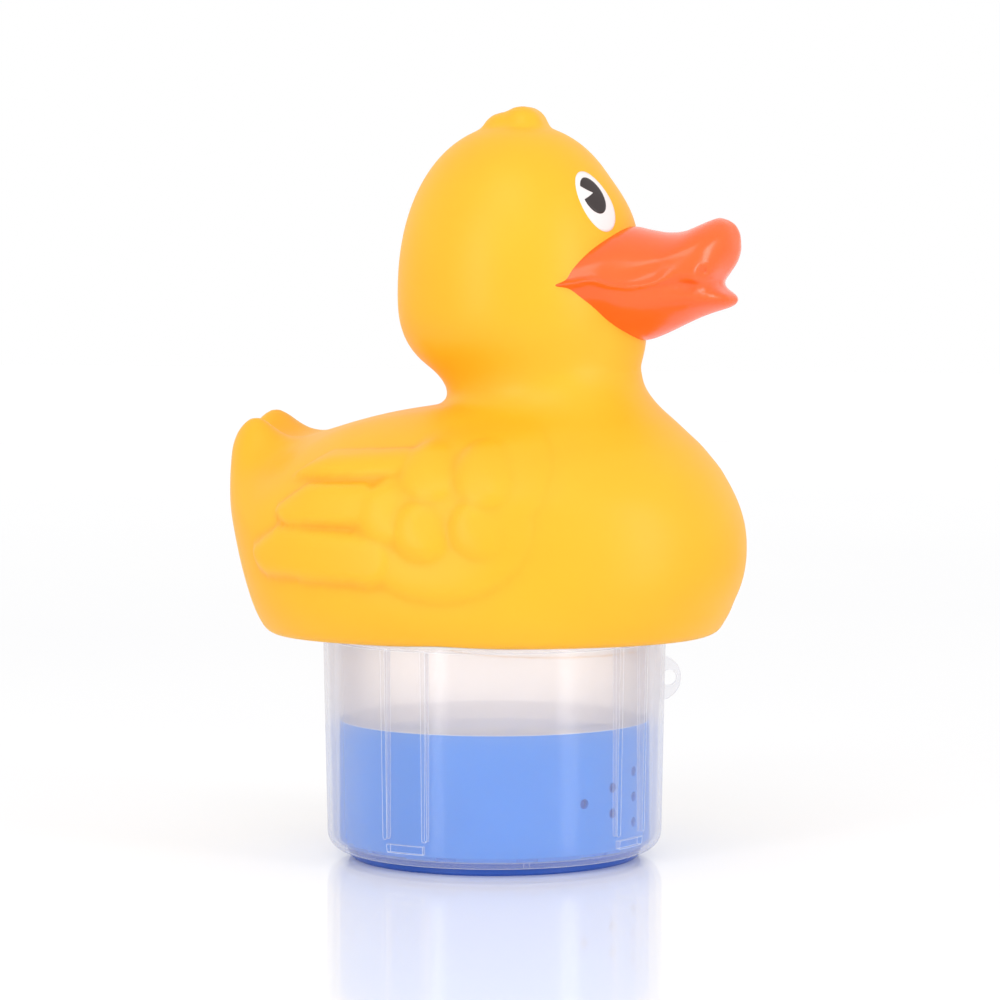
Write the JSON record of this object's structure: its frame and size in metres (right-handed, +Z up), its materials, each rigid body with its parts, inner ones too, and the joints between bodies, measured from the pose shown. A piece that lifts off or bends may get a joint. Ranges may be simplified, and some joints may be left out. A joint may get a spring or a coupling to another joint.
{
  "type": "floating chlorine dispenser",
  "caption": "Duck-shaped float that unscrews from a clear cylindrical tablet canister with a vented blue cup and a turning flow dial.",
  "frame": {"origin": "centre of the dial's underside, on the canister's axis", "axes": "+Z up along the canister's axis, +X the way the duck faces"},
  "size_m": [0.203, 0.1592, 0.2859],
  "materials": {
    "yellow_vinyl": "satin",
    "orange_vinyl": "gloss",
    "eye_white": "gloss",
    "eye_black": "gloss",
    "frosted_clear": "frosted",
    "clear_tube": "clear",
    "blue_plastic": "satin",
    "blue_dial": "satin",
    "white_plastic": "satin",
    "black_rubber": "matte",
    "stainless": "satin",
    "ballast_iron": "coated"
  },
  "bodies": {
    "canister": {"outer_sleeve": "frosted_clear", "tether_eyelet": "frosted_clear", "inner_tube": "clear_tube", "vent_cup": "blue_plastic", "dial_retainer": "white_plastic"},
    "dial": {"flow_dial": "blue_dial", "ballast_ring": "ballast_iron", "tablet_grid": "blue_plastic"},
    "riser": {"seal_ring": "black_rubber"},
    "duck": {"mounting_collar": "white_plastic", "clamp_ring": "white_plastic", "collar_screw_1": "stainless", "collar_screw_2": "stainless", "collar_screw_3": "stainless", "collar_screw_4": "stainless", "collar_screw_5": "stainless", "collar_screw_6": "stainless", "duck_shell": "yellow_vinyl", "bill": "orange_vinyl", "eye_white_left": "eye_white", "eye_white_right": "eye_white", "eye_pupil_left": "eye_black", "eye_pupil_right": "eye_black"}
  },
  "joints": [
    {"name": "dial_turn", "type": "hinge", "parent": "canister", "child": "dial", "pos_m": [0, 0, 0.0065], "axis": [0, 0, 1], "range_deg": [0, 41.7]},
    {"name": "duck_rise", "type": "slide", "parent": "canister", "child": "riser", "axis": [0, 0, 1], "range_m": [0, 0.025]},
    {"name": "duck_twist", "type": "hinge", "parent": "riser", "child": "duck", "pos_m": [0, 0, 0.088], "axis": [0, 0, 1], "range_deg": [0, 90]}
  ],
  "couplings": [
    {"joint": "duck_twist", "follows": "duck_rise", "rad_per_m": 62.83}
  ]
}
